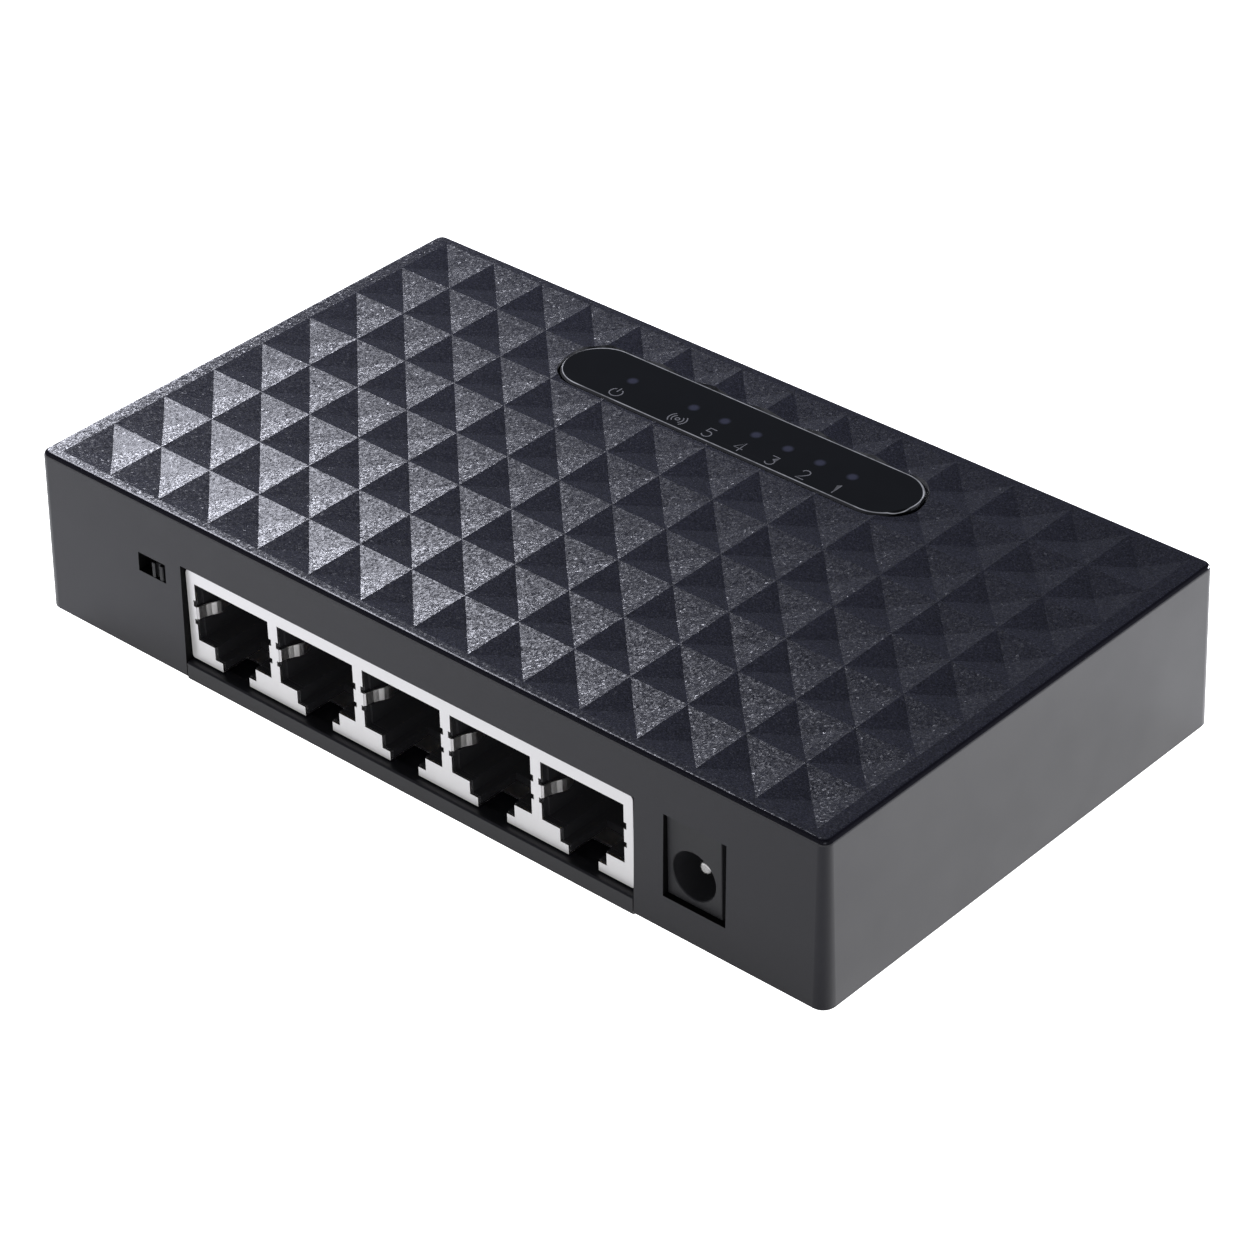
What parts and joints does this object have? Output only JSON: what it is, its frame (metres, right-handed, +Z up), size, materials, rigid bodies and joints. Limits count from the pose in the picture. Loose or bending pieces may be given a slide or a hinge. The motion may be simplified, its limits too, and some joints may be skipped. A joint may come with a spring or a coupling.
{
  "type": "desktop network switch",
  "caption": "Small plastic desktop network switch with a faceted lid, a smoked indicator window, a row of shielded network ports, a slide switch and a barrel power inlet.",
  "frame": {"origin": "centre of the bounding box's bottom face, on the plane of the feet", "axes": "+X along the row of ports towards the power inlet, ports open towards -Y, +Z up through the faceted lid"},
  "size_m": [0.1244, 0.0719, 0.0237],
  "materials": {
    "housing_black": "textured moulded",
    "base_black": "fine textured moulded",
    "smoked_lens": "polished, smoked",
    "baffle_black": "matt",
    "board_green": "solder resist",
    "nickel_shield": "nickel plated",
    "jack_black": "moulded",
    "gold_contacts": "gold flashed",
    "insert_black": "moulded",
    "pin_bright": "nickel plated",
    "tinned_metal": "tin plated",
    "switch_frame_steel": "plated",
    "knob_black": "moulded, ribbed",
    "wiper_bronze": "silver washed",
    "phenolic": "laminate",
    "led_white": "diffuse",
    "chip_black": "moulded epoxy",
    "magnetics_black": "moulded epoxy",
    "crystal_metal": "nickel can",
    "ferrite": "ferrite",
    "capacitor_aluminium": "can",
    "capacitor_base": "moulded",
    "ceramic_tan": "ceramic chip",
    "resistor_black": "chip",
    "screw_steel": "zinc plated",
    "case_screw_black": "black zinc",
    "foot_rubber": "matt",
    "label_grey": "satin film"
  },
  "bodies": {
    "switch_body": {"upper_housing": "housing_black", "bottom_cover": "base_black", "indicator_lens": "smoked_lens", "light_baffle": "baffle_black", "circuit_board": "board_green", "port_shield": "nickel_shield", "port_housing": "jack_black", "port_contacts": "gold_contacts", "contact_inserts": "insert_black", "dc_jack_housing": "jack_black", "dc_jack_pin": "pin_bright", "dc_jack_terminals": "tinned_metal", "slide_switch_frame": "switch_frame_steel", "slide_switch_base": "phenolic", "slide_switch_terminals": "tinned_metal", "status_leds": "led_white", "switch_chip": "chip_black", "switch_chip_leads": "tinned_metal", "isolation_transformers": "magnetics_black", "transformer_leads": "tinned_metal", "crystal_can": "crystal_metal", "memory_chip": "chip_black", "regulator_chip": "chip_black", "small_chip_leads": "tinned_metal", "power_inductor": "ferrite", "electrolytic_capacitors": "capacitor_aluminium", "capacitor_bases": "capacitor_base", "protection_diode": "chip_black", "ceramic_capacitors": "ceramic_tan", "chip_resistors": "resistor_black", "board_screws": "screw_steel", "case_screws": "case_screw_black", "rubber_feet": "foot_rubber", "rating_label": "label_grey"},
    "slide_knob": {"slide_switch_knob": "knob_black", "slide_switch_wiper": "wiper_bronze"}
  },
  "joints": [
    {"name": "mode_slide", "type": "slide", "parent": "switch_body", "child": "slide_knob", "axis": [-1, 0, 0], "range_m": [0, 0.002]}
  ]
}
